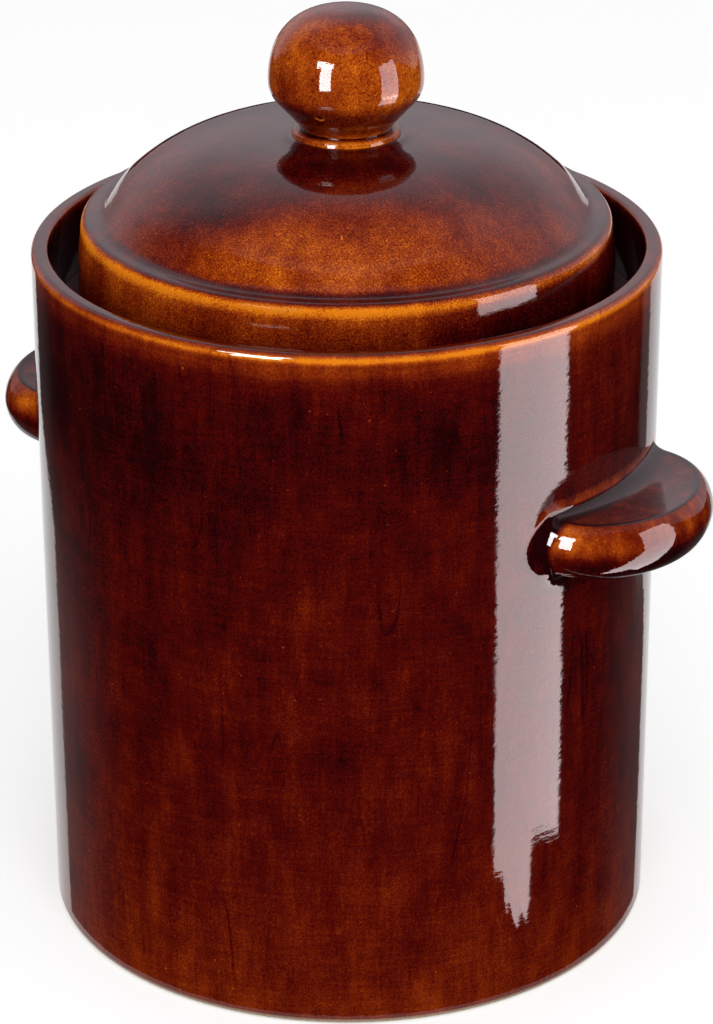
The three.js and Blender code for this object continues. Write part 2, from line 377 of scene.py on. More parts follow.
# %% Light tent
TENT_RADIUS = 2500.0
TENT_DIM = 0.015
TENT_TINT = (1, 0.92, 0.98, 1)
tent_turn = np.radians(np.linspace(-180, 180, 144, endpoint=False))[None]
tent_rise = np.radians(np.linspace(-4, 90, 60))[:, None]
high_up = ease(tent_rise, np.radians(43), np.radians(54))
from_left = (0.12 + 0.16 * high_up) * ease(-tent_turn, 1.4, 1.75)
from_left = from_left + (1 - from_left) * ease(-tent_turn, 1.8, 2.45)
from_right = ease(tent_turn, np.radians(38), np.radians(125))
in_front = ease(np.cos(tent_turn), -0.3, 0.3)
overhead = ease(tent_rise, np.radians(50 + 3 * in_front), np.radians(80 - 24 * in_front))
soft_box = in_front * (1 - ease(tent_rise, np.radians(59), np.radians(74)))
panel_foot = np.where(tent_turn > 0, 0.56 * (2.13 - tent_turn), 0.78 * (2.39 + tent_turn))
panel = ease(tent_rise, panel_foot - 0.03, panel_foot + 0.03)
low_behind = ease(np.abs(tent_turn), 2.1, 2.7) * (1 - ease(tent_rise, 0.03, 0.5))
from_sides = np.maximum(from_left, from_right) * panel * (1 - 0.65 * low_behind)
tent_pale = TENT_DIM + from_sides * (1 - overhead) + (0.2 + 0.25 * soft_box) * overhead
level_part = np.cos(tent_rise)[..., None] * heading(tent_turn)
tent_grid = TENT_RADIUS * (level_part + np.sin(tent_rise)[..., None] * UP)
tent_paint, tent_shader, wire = matt_paint("tent_paint", BLACK)
wire.own("pale").blend(BLACK, TENT_TINT).feed(tent_shader, "Emission Color")
tent_shader.inputs["Emission Strength"].default_value = 1.0
tent = mesh_piece("light_tent", tent_grid, {"pale": tent_pale}, last_pole=True)
tent.data.materials.append(tent_paint)
only_in_glaze(tent)

# %% [markdown]
# ## The white card
# A card on the table at the right is mirrored as the long pale streak on the barrel. A lamp's image
# would end in a straight line. The streak's lower end is ragged, so it is a card whose near edge is
# given by a few points.

# %% White card
CARD_GLOW = 8.8
CARD_TINT = (1, 0.81, 0.82)
CARD_ROWS = 12
CARD_COLUMNS = 60
CARD_REACH = 900.0
CARD_Z = 1.2

card_turns = np.radians(np.linspace(28.3, 43.5, CARD_COLUMNS))
card_share = np.linspace(0, 1, CARD_COLUMNS)
ragged_share = [0, 0.1, 0.16, 0.18, 0.24, 0.3, 0.36, 0.42, 0.5, 0.54, 0.56, 0.62, 1]
ragged_run = [82, 78, 74, 52, 58, 44, 40, 50, 42, 52, 92, 99, 94]
card_near = np.interp(card_share, ragged_share, ragged_run)
card_run = card_near + (CARD_REACH - card_near) * np.linspace(0, 1, CARD_ROWS)[:, None]
card_grid = mirrored_table(np.tile(card_turns, (CARD_ROWS, 1)), card_run, CARD_Z)
card_paint, card_shader, wire = matt_paint("white_card_paint", (0.9, 0.9, 0.9, 1))
card_shader.inputs["Emission Color"].default_value = (*CARD_TINT, 1)
card_shader.inputs["Emission Strength"].default_value = CARD_GLOW
card = stage_sheet("white_card", card_grid, card_paint)
only_in_glaze(card)

# %% [markdown]
# ## The lamps
# The main lamp, above the camera, gives the colours and isn't mirrored. The others are seen only in
# the glaze: the side lamp carries the card's streak up the wall, and two small lamps at the left make
# the bright window in the knob.

# %% Lamps
def soft_lamp(name, turn, distance, height, size, power, faces, tilt):
    """A rectangular lamp at a turn to the right of the camera, facing back along another turn and
    tilted down by an angle, all in degrees."""
    lamp = bpy.data.objects.new(name, bpy.data.lights.new(name, "AREA"))
    lamp.data.shape = "RECTANGLE"
    lamp.data.size = size[0]
    lamp.data.size_y = size[1]
    lamp.data.energy = power
    place, facing, down = np.radians([turn, faces, tilt])
    lamp.location = Vector(heading(place) * distance + height * UP)
    ahead = Vector(-heading(facing) * math.cos(down) - math.sin(down) * UP)
    lamp.rotation_mode = "QUATERNION"
    lamp.rotation_quaternion = ahead.to_track_quat("-Z", "Y")
    lamp.visible_camera = False
    bpy.context.scene.collection.objects.link(lamp)
    return lamp


main_lamp = soft_lamp("main_lamp", 6, 1.5, 1.5, (1.4, 1.4), 17.0, 6, 43)
main_lamp.visible_glossy = False
SIDE_SIZE = (0.3, 0.44)
side_power = math.pi * SIDE_SIZE[0] * SIDE_SIZE[1] * CARD_GLOW
side_lamp = soft_lamp("side_lamp", 65.8, 0.6, 0.29, SIDE_SIZE, side_power, 70.8, 0)
side_lamp.data.color = CARD_TINT
front_lamp = soft_lamp("front_lamp", -30, 0.9, 0.43, (0.26, 0.5), 13.0, -30, 8)
front_wing = soft_lamp("front_wing", -33, 0.9, 0.73, (0.44, 0.16), 7.5, -33, 25)
for lamp in (side_lamp, front_lamp, front_wing):
    only_in_glaze(lamp)
    print(lamp.name, "is seen only in the glaze")

# %% [markdown]
# ## The white surround
# The room is white where it is seen and dimmer where it lights, so the glaze stays deep.

# %% White surround
SKY_LIGHT = 0.55
world = bpy.data.worlds.new("surround")
world.use_nodes = True
bpy.context.scene.world = world
sky = Wire(world.node_tree)
background = world.node_tree.nodes["Background"]
background.inputs["Color"].default_value = WHITE
strength = SKY_LIGHT + (1 - SKY_LIGHT) * shown_rays(sky)
strength.feed(background, "Strength")
print("surround lights with", SKY_LIGHT)

# %% [markdown]
# ## Outlines for turning
# A potter shapes the wall by moving one hand up while the wheel turns. The outline is that hand's
# path. It could be drawn as a curve, but here it is given by its corners, each with the rounding that
# fingers leave there, because these are sizes that can be read off. Wherever the clay turns outwards
# the glaze runs off and stays thin, and in a hollow it gathers, so the walk along the outline also
# notes how sharply it turns. The glaze reads that number later.

# %% Walk along a rounded outline
STRAIGHT_STEP = 3.0
ROUND_STEP = math.radians(7)


def rounded_corner(before, corner, after, rounding):
    """The points of an arc that is tangent to both sides of a corner, and how far it turns. It starts
    before the corner by the rounding times the tangent of half the turn."""
    way_in = (corner - before) / np.linalg.norm(corner - before)
    way_out = (after - corner) / np.linalg.norm(after - corner)
    turn = math.atan2(way_in[0] * way_out[1] - way_in[1] * way_out[0], way_in @ way_out)
    if rounding == 0 or abs(turn) < 1e-6:
        return corner[None], turn
    back_off = rounding * math.tan(abs(turn) / 2)
    side = np.array([-way_in[1], way_in[0]]) * math.copysign(rounding, turn)
    centre = corner - way_in * back_off + side
    angles = np.linspace(0, turn, 2 + int(abs(turn) / ROUND_STEP))[:, None]
    spoke = -side
    crossed = np.array([-spoke[1], spoke[0]])
    return centre + spoke * np.cos(angles) + crossed * np.sin(angles), turn


def outline(corners, closed=False):
    """Points along an outline given as rows of radius, height and rounding. Straight runs get
    points that crowd towards their ends. Returns the points and, for each one, the sum of
    bell curves at the corners, positive where the clay turns outwards and negative in hollows."""
    table = np.array(corners, float)
    spots = table[:, :2]
    count = len(spots)
    arcs = []
    turns = []
    for place in range(count):
        if closed or 0 < place < count - 1:
            arc, turn = rounded_corner(
                spots[place - 1], spots[place], spots[(place + 1) % count], table[place, 2]
            )
        else:
            arc, turn = spots[place][None], 0.0
        arcs.append(arc)
        turns.append(turn)
    runs = []
    for place in range(count):
        runs.append(arcs[place])
        if closed or place < count - 1:
            start, end = arcs[place][-1], arcs[(place + 1) % count][0]
            pieces = max(1, round(np.linalg.norm(end - start) / STRAIGHT_STEP))
            share = 0.5 - 0.5 * np.cos(np.pi * np.arange(1, pieces) / pieces)
            runs.append(start + (end - start) * share[:, None])
    points = np.concatenate(runs)
    along = np.concatenate([[0], np.cumsum(np.linalg.norm(np.diff(points, axis=0), axis=1))])
    lengths = np.cumsum([0] + [len(run) for run in runs])
    first = lengths[0 : 2 * count : 2][:count]
    middles = along[[start + len(arc) // 2 for start, arc in zip(first, arcs)]]
    strength = np.clip(np.array(turns) / (np.pi / 2), -1.2, 1.2) * np.exp(-table[:, 2] / 12)
    strength = np.where(np.abs(turns) > 0.2, strength, 0)
    gaps = np.linalg.norm(spots - np.roll(spots, 1, axis=0), axis=1)
    spread = np.minimum(1.3, 0.35 * np.minimum(gaps, np.roll(gaps, -1))) + 0.5 * table[:, 2]
    bells = strength * np.exp(-(((along[:, None] - middles) / spread) ** 2))
    return points, np.sum(bells, axis=1)


# %% Turn an outline into a skin
def turned(points, turns):
    """Turns an outline about the upright axis: x and y are the radius times cosine and sine."""
    radius = points[:, :1]
    height = np.broadcast_to(points[:, 1:], (len(points), len(turns)))
    return np.stack([radius * np.cos(turns), radius * np.sin(turns), height], axis=-1)


def glaze_depth(base, edge, thinning, pooling):
    """Depth of the glaze, 0 for a thin skin and 1 for a pool: less than the base where the clay turns
    outwards, more in hollows."""
    return base - thinning * np.clip(edge, 0, None) + pooling * np.clip(-edge, 0, None)


WHEEL = np.linspace(0, 2 * np.pi, 288, endpoint=False)
print("a turn of the wheel has", len(WHEEL), "steps")

# %% [markdown]
# ## The barrel
# The barrel is one thrown piece: a thick floor, an almost straight wall, and a rim that is thinned
# on the inside to make room for the water. Its foot stands bare in the kiln, because glaze would
# stick it to the shelf. The outline runs from the middle of the underside up the outside, over the
# rim, and down the inside, so the whole skin comes from one turn.

# %% Barrel
BASE_NARROWER = 0.8
BASE_ROUND = 3.0
FOOT_WIDTH = 14.0
FOOT_HOLLOW = 2.0
RIM_WALL = 5.5
LEDGE = 2.5
FLOOR_TOP_Z = 10.0
JOINT_GAP = 0.3


def wall_radius(height):
    """Outside radius of the barrel's wall, which widens evenly from the base to the rim."""
    return BARREL_RADIUS - BASE_NARROWER * (1 - height / RIM_Z)


channel_radius = BARREL_RADIUS - RIM_WALL
inside_radius = channel_radius - LEDGE
ledge_z = RING_BASE_Z - JOINT_GAP
foot_edge = wall_radius(0) - BASE_ROUND - FOOT_WIDTH
barrel_corners = [
    (0, FOOT_HOLLOW, 0),
    (foot_edge - FOOT_HOLLOW, FOOT_HOLLOW, 1.5),
    (foot_edge, 0, 0.6),
    (wall_radius(0), 0, BASE_ROUND),
    (wall_radius(RIM_Z), RIM_Z, 2.2),
    (channel_radius, RIM_Z, 1.2),
    (channel_radius, ledge_z, 0.8),
    (inside_radius, ledge_z, 0.8),
    (inside_radius, FLOOR_TOP_Z, 6),
    (0, FLOOR_TOP_Z, 0),
]
barrel_line, barrel_edge = outline(barrel_corners)
print("barrel outline has", len(barrel_line), "points")

# %% [markdown]
# The glaze ran before it froze: it is deepest a little below the rim, thinner towards the foot, and
# so thin over the rim's edges that they show honey. On the inside, below the rim's top, it is darker
# as painted shade. Its depth is first given by height, and then changed a little round the barrel as
# seen from the camera: darker at the left and at the right as painted shade, lighter high up on the
# right, and with more honey on the rim's front edge.

# %% Depth of the barrel's glaze by height
barrel_z = barrel_line[:, 1]
first_half = np.arange(len(barrel_line)) < len(barrel_line) / 2
bare_foot = np.where(first_half, 1 - ease(barrel_z, 1.4, 2.6), 0)
base_heights = [5, 31, 66, 100, 135, 170, 196, 212, 222]
base_depths = [0.58, 0.67, 0.76, 0.77, 0.79, 0.82, 0.93, 0.87, 0.8]
on_rim = ease(barrel_z, 150, 200)
barrel_base = np.interp(barrel_z, base_heights, base_depths)
barrel_base = barrel_base + 0.2 * on_rim * np.clip(-barrel_edge, 0, 1)
outer_edge = 0.75 * bell(barrel_z, RIM_Z - 1.6, 1.3) + 0.3 * bell(barrel_z, RIM_Z - 5, 3.5)
outer_edge = outer_edge * (barrel_line[:, 0] > BARREL_RADIUS - 1.4)
inner_edge = bell(barrel_z, RIM_Z - 0.5, 1.2) * (np.abs(barrel_line[:, 0] - channel_radius) < 0.9)
barrel_base = barrel_base - 0.3 * inner_edge
# Inside the barrel, below the rim's top, the colour is darkened: painted shade.
in_shade = (barrel_line[:, 0] < channel_radius + 0.1) & ~first_half
barrel_base = barrel_base + 0.2 * in_shade * (1 - ease(barrel_z, RIM_Z - 4, RIM_Z - 1))
print("glaze is", barrel_base.min().round(2), "to", barrel_base.max().round(2), "deep on the barrel")

# %% Glaze on the barrel
camera_turn = math.atan2(to_camera.y, to_camera.x)


def right_of_camera(turns):
    """How far turns about the crock's axis are to the right of the camera's, in radians."""
    return np.angle(np.exp(1j * (turns - camera_turn)))[None]


def right_side(turn, low, high):
    """0 on the left of the camera and 1 on its right: a soft change in front, between two turns, and
    another one behind."""
    return ease(turn, low, high) * (1 - ease(turn, 2.0, 2.9))


barrel_turn = right_of_camera(WHEEL)
height = barrel_z[:, None]
# Darker at the left and at the right of the front: painted shade. High up on the right it is lighter.
left_side_shade = bell(barrel_turn, -1.0, 0.5) * ease(height, 60, 190)
right_part = bell(barrel_turn, 0.95, 0.3)
thin_part = 0.75 + 0.25 * bell(barrel_turn, 0.15, 0.5)
barrel_depth_and_shade = barrel_base[:, None] - thin_part * outer_edge[:, None] + 0.06 * left_side_shade
barrel_depth_and_shade = barrel_depth_and_shade + right_part * (0.07 - 0.2 * ease(height, 150, 205))
barrel_values = {"depth": barrel_depth_and_shade, "bare": bare_foot[:, None]}
barrel = mesh_piece("barrel", turned(barrel_line, WHEEL), barrel_values, **BOTH_POLES)

# %% [markdown]
# ## The ring of the water channel
# A separate ring is stuck inside the rim. Its flat part is the floor of the channel, and its neck
# keeps the water out of the jar. It could be part of the barrel's outline, but it is a piece of its
# own on the real crock. Its outline closes on itself, so it turns into a tube-like ring.

# %% Seal ring
SKIRT_WALL = 6.0
NECK_CLEARANCE = 3.0
NECK_WALL = 7.0
NECK_RADIUS = SKIRT_RADIUS - SKIRT_WALL - NECK_CLEARANCE
channel_floor_z = SKIRT_FOOT_Z - JOINT_GAP
ring_corners = [
    (channel_radius + 0.2, RING_BASE_Z, 0.4),
    (channel_radius + 0.2, channel_floor_z, 0.4),
    (NECK_RADIUS, channel_floor_z, 3),
    (NECK_RADIUS, NECK_TOP_Z, 2.5),
    (NECK_RADIUS - NECK_WALL, NECK_TOP_Z, 2.5),
    (NECK_RADIUS - NECK_WALL, RING_BASE_Z, 3),
]
ring_line, ring_edge = outline(ring_corners, closed=True)
ring_edge = ring_edge * (ring_line[:, 0] < NECK_RADIUS + 0.1)
ring_depth = glaze_depth(0.92, ring_edge, 0.5, 0.2)
ring_grid = turned(ring_line, WHEEL)
seal_ring = mesh_piece("seal_ring", ring_grid, {"depth": ring_depth[:, None]}, ring=True)

# %% [markdown]
# ## The lid
# The lid is a flat dome with a rolled lip and a skirt. Part of a ball would be too round in the middle,
# so the dome's curve is nearly a fourth power: almost level in the middle and steep at its foot.
# Between that foot and the lip a finger left a shallow valley. Inside, the same curve lies lower by
# the wall. A little slip rises round the knob.

# %% Domed lid
LIP_LEAN = 1.4
LIP_BULGE_Z = SKIRT_FOOT_Z + 20.0
LIP_CORNER_Z = SKIRT_FOOT_Z + 33.0
LIP_ROUND = 3.0
VALLEY_RADIUS = 77.4
VALLEY_RISE = 0.5
VALLEY_ROUND = 5.0
DOME_FOOT = 78.9
DOME_EDGE = 71.5
DOME_EDGE_ROUND = 16.0
DOME_RISE = 25.6
DOME_WALL = 7.5
DOME_SQUARE = 0.047
SLIP_RISE = 0.5
SLIP_RADIUS = 18.2
SLIP_WIDTH = 2.2


def dome_curve(top_z, foot_radius, steps):
    """Rows from the dome's middle to its foot: the drop is the rise times a small part of the squared
    share of the foot radius, and the rest of its fourth power."""
    share = np.sin(np.linspace(0, np.pi / 2, steps))
    drop = DOME_SQUARE * share**2 + (1 - DOME_SQUARE) * share**4
    return np.stack([foot_radius * share, top_z - DOME_RISE * drop, 0 * share], axis=1)


inner_dome = dome_curve(DOME_TOP_Z - DOME_WALL, SKIRT_RADIUS - SKIRT_WALL, 44)
outer_dome = dome_curve(DOME_TOP_Z, DOME_FOOT, 130)[::-1]
dome_edge_z = np.interp(DOME_EDGE, outer_dome[::-1, 0], outer_dome[::-1, 1])
outer_dome = outer_dome[outer_dome[:, 0] < DOME_EDGE - 1.7]
outer_dome[:, 1] += SLIP_RISE * bell(outer_dome[:, 0], SLIP_RADIUS, SLIP_WIDTH)
lid_corners = [
    *inner_dome,
    (SKIRT_RADIUS - SKIRT_WALL, SKIRT_FOOT_Z, 1.5),
    (SKIRT_RADIUS, SKIRT_FOOT_Z, 1.5),
    (SKIRT_RADIUS, LIP_BULGE_Z, 25),
    (SKIRT_RADIUS - LIP_LEAN, LIP_CORNER_Z, LIP_ROUND),
    (VALLEY_RADIUS, LIP_CORNER_Z + VALLEY_RISE, VALLEY_ROUND),
    (DOME_EDGE, dome_edge_z, DOME_EDGE_ROUND),
    *outer_dome,
]
lid_line = outline(lid_corners)[0]
print("lid outline has", len(lid_line), "points")

# %% [markdown]
# The lid's front is orange brown, and its middle, its two shoulders and the valley are darker. Along
# the lip the glaze is so thin that it is honey coloured and dry, and the skirt's front is nearly so.
# The skirt is lighter on the left and darker on the right, partly glaze that varies and partly
# painted light and shade. The honey lip is lighter on the left and darker on the right, as painted
# light and shade, and the skirt is darker where it drops below the rim, as painted shade.

# %% Glaze on the lid
VALLEY_DEPTH = 0.86
lid_radius, lid_z = lid_line[:, :1], lid_line[:, 1:]
lid_turn = right_of_camera(WHEEL)
facing = bell(lid_turn, -0.15, 0.8)
to_dome = ease(lid_radius, VALLEY_RADIUS + 0.8, VALLEY_RADIUS - 1.8)
above_lip = lid_z > LIP_CORNER_Z - 1
dome_depth = 0.84 - (0.2 + 0.33 * facing) * ease(lid_radius, 42, 68)
left_shoulder = 0.42 * bell(lid_turn, -0.76, 0.3) * bell(lid_radius, 62, 9)
right_shoulder = 0.14 * bell(lid_turn, 1.0, 0.3) * bell(lid_radius, 58, 10)
dome_depth = dome_depth + left_shoulder + right_shoulder
# The skirt is lighter on the left and darker on the right: glaze that varies, and painted light and
# painted shade.
skirt_depth_and_shade = 0.54 - 0.05 * bell(lid_turn, -0.9, 0.5) + 0.34 * right_side(lid_turn, 0.15, 0.5)
# Where the skirt drops below the rim's top it is darker: painted shade.
skirt_depth_and_shade = skirt_depth_and_shade + 0.1 * ease(RIM_Z - lid_z, 0, 8)
lip_depth = VALLEY_DEPTH + (dome_depth - VALLEY_DEPTH) * to_dome
lid_depth_and_shade = np.where(above_lip, lip_depth, skirt_depth_and_shade)
honey = bell(lid_z, LIP_CORNER_Z - 2.1, 2.1)
honey = honey * ease(lid_radius, SKIRT_RADIUS - 3.2, SKIRT_RADIUS - 1.9)
# The honey lip is lighter on the left and darker on the right: painted light and painted shade.
lid_depth_and_shade = lid_depth_and_shade + (0.24 * right_side(lid_turn, 0.1, 0.6) - 0.04 - lid_depth_and_shade) * honey
on_skirt = (lid_radius > SKIRT_RADIUS - 3) & (lid_z < LIP_CORNER_Z - 2)
dry_side = (1 - ease(lid_turn, 0.1, 0.5)) * ease(lid_turn, -2.6, -1.9)
dry = np.maximum(honey, 0.8 * on_skirt) * dry_side
lid_values = {"depth": lid_depth_and_shade, "dry": dry}
domed_lid = mesh_piece("domed_lid", turned(lid_line, WHEEL), lid_values, **BOTH_POLES)

# %% [markdown]
# ## The knob
# The knob is thrown hollow and luted onto the lid over a little foot ring. A pin hole in its lower
# taper lets the air out in the kiln. A Boolean cut could make it, but leaves long thin faces that
# shade badly. So the grid is made finer round that hole, and the points inside it are pushed into
# the wall, which gives a real pit.

# %% Knob outline
KNOB_CROWN = 25.0
KNOB_CROWN_POWER = 2.5
KNOB_WALL = 7.0
WAIST_RADIUS = 14.6
FOOT_RADIUS = 17.0
WAIST_Z = KNOB_FOOT_Z + 2.2
knob_ring_z = KNOB_TOP_Z - KNOB_CROWN


def crown_curve(radius, height, steps=36):
    """Rows of the crown from its widest ring to the axis: a rounded quarter in which the shares of
    the radius and the height, each raised to the crown's power, add up to one."""
    angle = np.linspace(0, np.pi / 2, steps)
    across = np.clip(np.cos(angle), 0, 1) ** (2 / KNOB_CROWN_POWER)
    up = np.sin(angle) ** (2 / KNOB_CROWN_POWER)
    across[-1] = 0
    return np.stack([radius * across, knob_ring_z + height * up, 0 * up], axis=1)


TAPER = math.radians(41.1)
BELLY_ROUND = 9.0
lip_z = WAIST_Z + 1.1
lip_reach = WAIST_RADIUS + 0.75
belly_z = lip_z + (KNOB_RADIUS - lip_reach) / math.tan(TAPER)
crown = crown_curve(KNOB_RADIUS, KNOB_CROWN)
crown_start = belly_z + BELLY_ROUND * math.tan(TAPER / 2) + 0.2
knob_corners = [
    *crown_curve(KNOB_RADIUS - KNOB_WALL, KNOB_CROWN - KNOB_WALL)[::-1],
    (WAIST_RADIUS - KNOB_WALL, WAIST_Z, 1),
    (WAIST_RADIUS - KNOB_WALL, KNOB_FOOT_Z - 0.7, 0.3),
    (FOOT_RADIUS + 0.3, KNOB_FOOT_Z - 0.7, 0.1),
    (FOOT_RADIUS - 0.1, KNOB_FOOT_Z + 1.4, 1.1),
    (WAIST_RADIUS - 0.6, WAIST_Z - 0.1, 0.2),
    (lip_reach - 0.6, lip_z - 0.9, 0.6),
    (lip_reach + 0.2, lip_z + 0.6, 2.0),
    (KNOB_RADIUS, belly_z, BELLY_ROUND),
    *crown[crown[:, 1] > crown_start],
]
knob_line, knob_edge = outline(knob_corners)
print("knob outline has", len(knob_line), "points")

# %% Knob with its vent
VENT_Z = KNOB_FOOT_Z + 10.5
VENT_TURN = math.radians(-90 + 10)
VENT_RADIUS = 0.9
VENT_DEPTH = 5.0
INNER_POINTS = 40
FINE_WALK = 2.4
FINE_TURN = 0.115
COARSE_START = 0.12

outside = np.arange(len(knob_line)) > INNER_POINTS
near_vent = np.argmin(np.where(outside, np.abs(knob_line[:, 1] - VENT_Z), 1e9))
along = np.concatenate([[0], np.cumsum(np.linalg.norm(np.diff(knob_line, axis=0), axis=1))])
vent_radius_here = knob_line[near_vent, 0]
crowd = np.linspace(-1, 1, 41)
stations = np.unique(np.concatenate([along, along[near_vent] + FINE_WALK * crowd]))
knob_points = np.stack([np.interp(stations, along, knob_line[:, k]) for k in (0, 1)], axis=1)
knob_edges = np.interp(stations, along, knob_edge)
beside_vent = np.linspace(COARSE_START, 2 * np.pi - COARSE_START, 200)
knob_turns = VENT_TURN + np.concatenate([FINE_TURN * crowd, beside_vent])
knob_grid = turned(knob_points, knob_turns)

arc_from_vent = np.angle(np.exp(1j * (knob_turns - VENT_TURN))) * vent_radius_here
walk_from_vent = stations - along[near_vent]
vent_distance = np.hypot(walk_from_vent[:, None], arc_from_vent[None])
vent_fall = 1 - ease(vent_distance, VENT_RADIUS - 0.2, VENT_RADIUS + 0.2)
inward = np.array([math.cos(VENT_TURN), math.sin(VENT_TURN), 0])
knob_grid = knob_grid - inward * (VENT_DEPTH * vent_fall)[..., None]
print("vent is", 2 * VENT_RADIUS, "mm across and", VENT_DEPTH, "mm deep")

# %% [markdown]
# The knob's belly is honey brown. Under the belly it is darker, partly deeper glaze and partly
# painted shade. It is also darker low at the left, over the top and more so on its right, and on the
# foot ring away from the front. The vent's hole is painted black as painted shade, and the glaze is
# thin round its lip.

# %% Glaze on the knob
knob_turn = right_of_camera(knob_turns)
knob_z = knob_points[:, 1]
knob_base = 0.29 + 0.3 * ease(knob_z, knob_ring_z + 22, KNOB_TOP_Z)
# Under the belly the taper is darker: deeper glaze and painted shade.
under_belly = ease(knob_z, lip_z + 1.2, lip_z + 3.2)
under_belly = under_belly * (1 - ease(knob_z, knob_ring_z - 3, knob_ring_z + 1))
knob_base = knob_base + 0.26 * under_belly
knob_depth_and_shade = glaze_depth(knob_base, knob_edges, 0.35, 0.6)[:, None]
low_part = 1 - ease(knob_z[:, None], knob_ring_z + 3.25, knob_ring_z + 15.25)
low_left = bell(knob_turn, -0.8, 0.6) * low_part
knob_depth_and_shade = knob_depth_and_shade + 0.22 * low_left
upper = ease(knob_z[:, None], knob_ring_z + 11, knob_ring_z + 19)
knob_depth_and_shade = knob_depth_and_shade + upper * (0.04 + 0.2 * right_side(knob_turn, -0.2, 0.6))
foot_side = 1 - bell(knob_turn, -0.1, 0.9)
knob_depth_and_shade = knob_depth_and_shade + 0.3 * foot_side * (knob_z[:, None] < WAIST_Z)
vent_lip = bell(vent_distance, VENT_RADIUS + 0.45, 0.5)
vent_lip = vent_lip * ease(-walk_from_vent, -0.6, 0.8)[:, None]
# Thin glaze round the vent's lip; inside the hole the colour is black: painted shade.
knob_depth_and_shade = knob_depth_and_shade - 0.6 * vent_lip + 1.0 * (vent_distance < VENT_RADIUS)
knob = mesh_piece("knob", knob_grid, {"depth": knob_depth_and_shade}, **BOTH_POLES)

# %% [markdown]
# ## The lug handles
# Each handle is a half-moon of clay pressed onto the wall, with a dished top, a rounded edge and a
# fillet of slip where it was luted on. A plain half disc would meet the wall in a hard line, so the
# fillet is part of the grid, whose rows follow the wall. They start at a back that is pressed a
# millimetre into the wall and closes the piece. A thin band of slip comes next, then the fillet, a
# curve that leaves the wall and bends up into the lug. From there each row stands further out, until
# the last one shrinks to the tip.

# %% Lug surface
LUG_ROOT = 4.0
LUG_LENGTH = 76.0
LUG_THICKNESS = 18.0
LUG_DISH = 1.6
LUG_RIDGE = 0.85
LUG_COLUMNS = 400

lug_wall = wall_radius(LUG_Z)
lug_centre = BARREL_RADIUS - LUG_ROOT
lug_half_x = LUG_TIP - lug_centre
lug_half_y = LUG_LENGTH / 2


def lug_height(share, out):
    """Half thickness of the lug at a share of its outline: a dish that rises with the squared share to
    a ridge, and from there a roll that turns down to nothing at the edge, one less a power of the
    share beyond the ridge, itself raised to a power. The dish starts off the wall."""
    dish = LUG_DISH * np.clip(1 - (share / LUG_RIDGE) ** 2, 0, 1) * ease(out, -5, 9)
    over = np.clip((share - LUG_RIDGE) / (1 - LUG_RIDGE), 0, 1)
    return (LUG_THICKNESS / 2 - dish) * (1 - over**1.6) ** 0.55


def lug_half_length(out):
    """Half length of the lug at a distance out from the wall, where a circle about the barrel's axis
    crosses the lug's elliptic outline."""
    circle = lug_wall + out
    a, b = lug_half_x**-2, lug_half_y**-2
    inner = (lug_centre * a) ** 2 - (a - b) * (lug_centre**2 * a + circle**2 * b - 1)
    x = (lug_centre * a - np.sqrt(np.clip(inner, 0, None))) / (a - b)
    return np.sqrt(np.clip(circle**2 - x**2, 0, None))


def lug_point(out, turn):
    """Arc along the wall, height and share of the outline of a lug point: its reach along the wall
    is the half length times the cosine of the turn, and the sine's sign picks top or underside."""
    circle = lug_wall + out
    y = lug_half_length(out) * np.cos(turn)
    x = np.sqrt(circle**2 - y**2)
    share = np.sqrt(((x - lug_centre) / lug_half_x) ** 2 + (y / lug_half_y) ** 2)
    share = np.clip(share, 0, 1)
    height = LUG_Z + np.sign(np.sin(turn)) * lug_height(share, out)
    return np.arctan2(y, x) * lug_wall, height, share


print("lug stands", round(LUG_TIP - lug_wall, 2), "mm out of the wall")

# %% [markdown]
# The fillet reaches further along the wall below the lug and further out on the lug above it, as a
# thumb leaves it. Each point of the lug's foot needs the direction that leads away along the wall.

# %% Fillet where the lug is luted on
BAND_WIDTH = 4.0
SKIN = 0.012
BACK = -1.0

lug_turns = (np.arange(LUG_COLUMNS) + 0.5) / LUG_COLUMNS * 2 * np.pi
on_top = ease(np.sin(lug_turns), 0.02, 0.45)
on_lug = 4.8 + 1.2 * on_top
on_wall = 6.2 - 3.0 * on_top
foot_arc, foot_z = lug_point(np.zeros(LUG_COLUMNS), lug_turns)[:2]
along_arc = np.roll(foot_arc, -1) - np.roll(foot_arc, 1)
along_z = np.roll(foot_z, -1) - np.roll(foot_z, 1)
side_length = np.hypot(along_arc, along_z)
away_arc, away_z = along_z / side_length, -along_arc / side_length
print("fillet is", on_wall.min(), "to", on_wall.max(), "mm wide on the wall")

# %% Lug with its fillet
bend = np.linspace(0, 1, 26)[:, None]
band_share = np.linspace(1, 0, 9)[:-1, None]
band_reach = on_wall + BAND_WIDTH * band_share
band_arc = foot_arc + band_reach * away_arc
band_z = foot_z + band_reach * away_z
band_out = SKIN - 3 * SKIN * band_share**2 * np.ones(LUG_COLUMNS)

lug_rows = (1 - (1 - np.linspace(0, 1, 70)) ** 2)[1:, None]
lug_out = on_lug + (LUG_TIP - lug_wall - on_lug) * lug_rows
lug_arc, lug_z, lug_share = lug_point(lug_out, lug_turns)
start_arc, start_z = lug_point(on_lug, lug_turns)[:2]
from_wall, from_foot, from_lug = (1 - bend) ** 2, 2 * bend * (1 - bend), bend**2
wall_arc = foot_arc + on_wall * away_arc
wall_z = foot_z + on_wall * away_z
fillet_arc = from_wall * wall_arc + from_foot * foot_arc + from_lug * start_arc
fillet_z = from_wall * wall_z + from_foot * foot_z + from_lug * start_z
fillet_out = SKIN + from_lug * (on_lug - SKIN)

